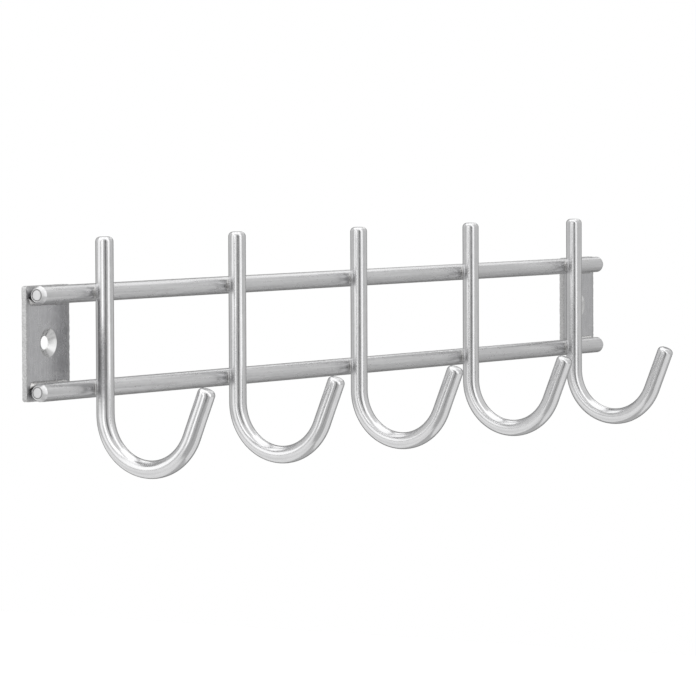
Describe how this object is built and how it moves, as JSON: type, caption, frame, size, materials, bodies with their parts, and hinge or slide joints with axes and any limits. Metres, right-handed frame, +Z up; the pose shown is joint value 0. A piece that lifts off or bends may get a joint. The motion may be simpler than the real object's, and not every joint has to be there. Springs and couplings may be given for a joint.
{
  "type": "wall hook rack",
  "caption": "Wall rail of round steel rod with J-shaped hooks welded across horizontal bars and a small screw plate at each end, for hanging coats, towels or tools.",
  "frame": {"origin": "on the wall plane, midway between the centres of the two screw holes", "axes": "+X along the rack, to the right as one faces it; -Y out of the wall, the way the hooks stand out and the screws come out; +Z up"},
  "size_m": [0.504, 0.071, 0.105],
  "materials": {
    "rod_steel": "satin, finely ground along the rod",
    "plate_steel": "satin, mill finish with faint grinding",
    "weld_steel": "cleaned weld metal, finely rippled"
  },
  "bodies": {
    "root": {"wall_plate_left": "plate_steel", "wall_plate_right": "plate_steel", "bar_upper": "rod_steel", "bar_lower": "rod_steel", "hook_1": "rod_steel", "weld_hook_1_upper": "weld_steel", "weld_hook_1_lower": "weld_steel", "hook_2": "rod_steel", "weld_hook_2_upper": "weld_steel", "weld_hook_2_lower": "weld_steel", "hook_3": "rod_steel", "weld_hook_3_upper": "weld_steel", "weld_hook_3_lower": "weld_steel", "hook_4": "rod_steel", "weld_hook_4_upper": "weld_steel", "weld_hook_4_lower": "weld_steel", "hook_5": "rod_steel", "weld_hook_5_upper": "weld_steel", "weld_hook_5_lower": "weld_steel", "weld_plate_left_upper": "weld_steel", "weld_plate_left_lower": "weld_steel", "weld_plate_right_upper": "weld_steel", "weld_plate_right_lower": "weld_steel"}
  },
  "joints": []
}
